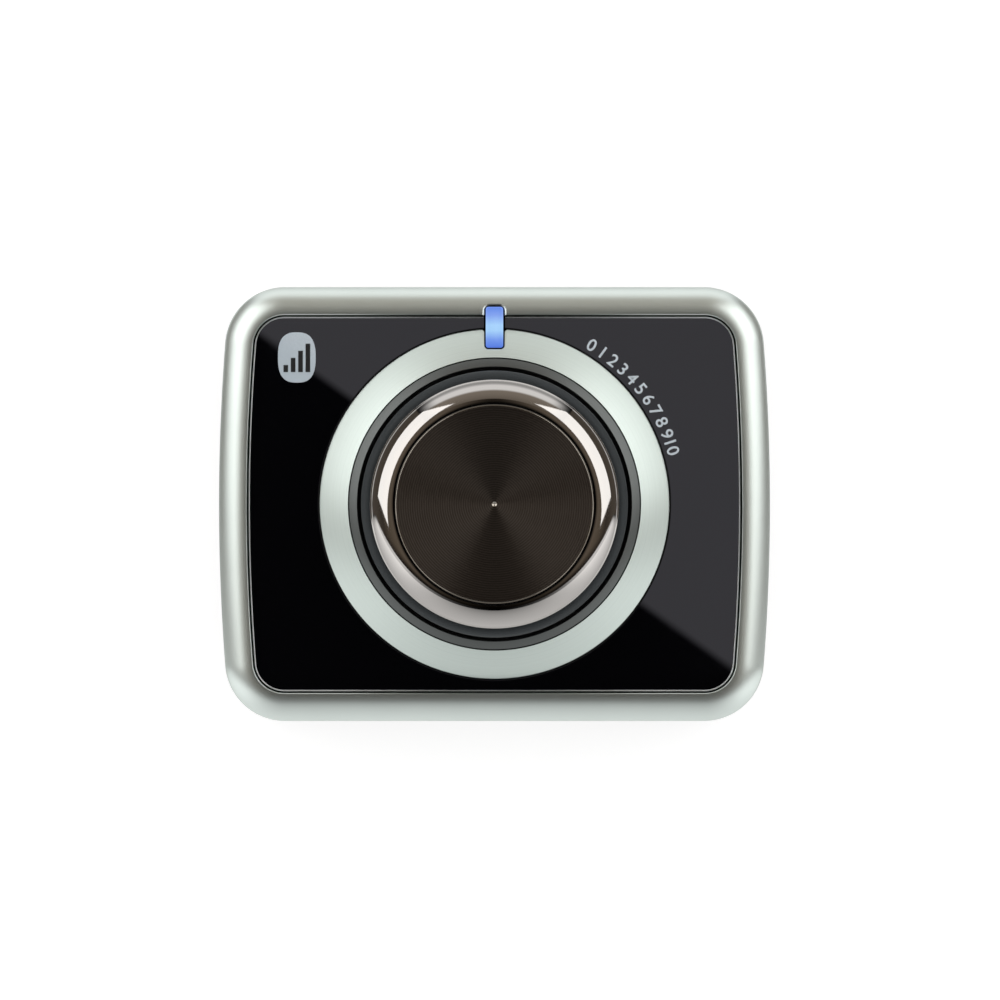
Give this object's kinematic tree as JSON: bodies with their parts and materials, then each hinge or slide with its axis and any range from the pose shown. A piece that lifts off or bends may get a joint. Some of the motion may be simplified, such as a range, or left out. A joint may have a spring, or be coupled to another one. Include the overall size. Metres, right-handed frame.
{
  "type": "volume control knob",
  "caption": "Tabletop volume control: a bow-sided silver-framed black case with a large push-and-turn knob, satin trim ring, blue indicator and coin-cell bay.",
  "frame": {"origin": "on the table under the middle of the case, in the plane of the feet", "axes": "+Z out of the face along the knob's axis, +Y towards the indicator, +X to the right seen from the front"},
  "size_m": [0.066, 0.052, 0.0311],
  "materials": {
    "black_abs": "fine moulded grain",
    "silver_paint": "satin silver paint",
    "gloss_black": "high gloss",
    "adhesive": "double-sided adhesive film",
    "satin_aluminium": "turned and satin anodised",
    "dark_anodised": "gunmetal anodised",
    "blue_lens": "clear blue acrylic, lit from below",
    "rubber": "soft matte",
    "dark_chrome": "dark chrome plating on moulded plastic",
    "spun_black": "black anodised, turned in fine rings",
    "spring_steel": "bright spring steel",
    "steel": "bright plated steel",
    "dark_resin": "moulded engineering resin",
    "ivory_resin": "moulded engineering resin",
    "contact_metal": "plated contact alloy",
    "green_board": "solder-masked laminate",
    "blue_board": "solder-masked laminate",
    "lamp": "clear lamp package",
    "cell_can": "plated can"
  },
  "bodies": {
    "housing": {"rear_cover": "black_abs", "front_chassis": "black_abs", "bezel": "silver_paint", "front_panel": "gloss_black", "panel_tape": "adhesive", "trim_ring": "satin_aluminium", "well_collar": "dark_anodised", "indicator_lens": "blue_lens", "encoder_bush": "steel", "encoder_frame": "steel", "encoder_base": "dark_resin", "detent_spring": "spring_steel", "push_dome": "spring_steel", "encoder_terminals": "contact_metal", "encoder_washer": "steel", "encoder_nut": "steel", "main_board": "green_board", "controller_chip": "dark_resin", "radio_board": "blue_board", "radio_shield": "steel", "indicator_led": "lamp", "contact_negative": "contact_metal", "contact_positive": "contact_metal", "coin_cell": "cell_can", "case_screws": "steel", "board_screws": "steel", "rubber_feet": "rubber"},
    "rotor": {"encoder_rotor": "ivory_resin"},
    "knob": {"knob_core": "black_abs", "knob_grip": "rubber", "knob_crown": "dark_chrome", "knob_cap": "spun_black", "cap_tape": "adhesive", "shaft_clip": "spring_steel", "encoder_shaft": "steel"},
    "door": {"battery_door": "black_abs"}
  },
  "joints": [
    {"name": "knob_turn", "type": "hinge", "parent": "housing", "child": "rotor", "pos_m": [0, 0, 0.0099], "axis": [0, 0, -1], "continuous": true, "deforming": ["detent_spring"]},
    {"name": "knob_press", "type": "slide", "parent": "rotor", "child": "knob", "axis": [0, 0, -1], "range_m": [0, 0.0005], "stiffness_N_per_m": 2000, "springref_m": -0.0005, "deforming": ["push_dome"]},
    {"name": "battery_door_turn", "type": "hinge", "parent": "housing", "child": "door", "pos_m": [-0.01725, 0, 0.0016], "axis": [0, 0, -1], "range_deg": [0, 45]}
  ]
}
